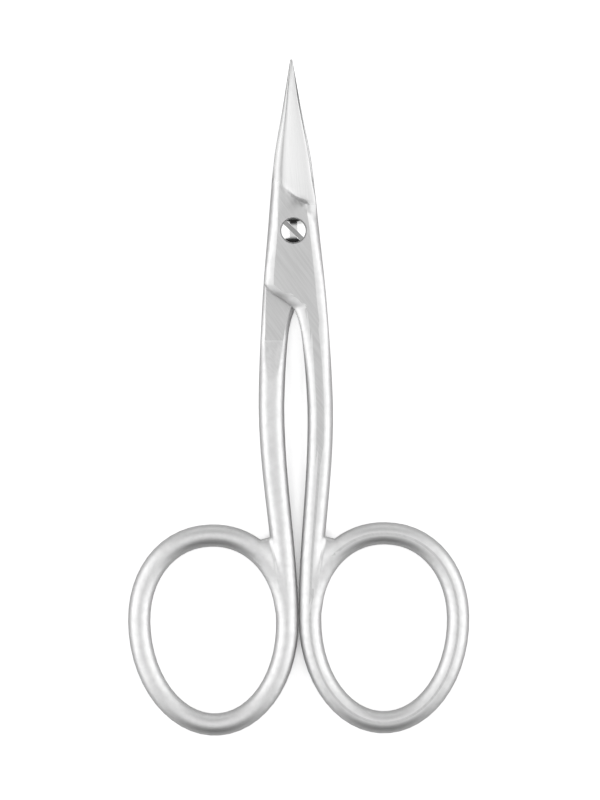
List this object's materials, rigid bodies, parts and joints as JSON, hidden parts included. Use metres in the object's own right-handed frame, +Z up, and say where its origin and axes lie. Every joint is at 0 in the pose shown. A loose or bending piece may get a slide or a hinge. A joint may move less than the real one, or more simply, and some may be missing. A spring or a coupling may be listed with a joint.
{
  "type": "cuticle scissors",
  "caption": "Cuticle scissors with short curved hollow-ground blades, slim shanks and egg-shaped finger bows, lapped on a slotted pivot screw, for trimming the skin round the nails.",
  "frame": {"origin": "on the table, midway between the tips and the feet of the bows, on the line of symmetry of the closed scissors", "axes": "+X to the right, toward the bow of the front half; +Y toward the tips; +Z up, along the pivot axis toward the screw head"},
  "size_m": [0.0482, 0.095, 0.0057],
  "materials": {
    "forging": "satin blasted stainless steel with ground blades",
    "screw": "polished stainless steel"
  },
  "bodies": {
    "back": {"back_half": "forging", "pivot_screw": "screw"},
    "front": {"front_half": "forging"}
  },
  "joints": [
    {"name": "pivot", "type": "hinge", "parent": "back", "child": "front", "pos_m": [0, 0.0235, 0.0016], "axis": [0, 0, 1], "range_deg": [0, 60]}
  ]
}
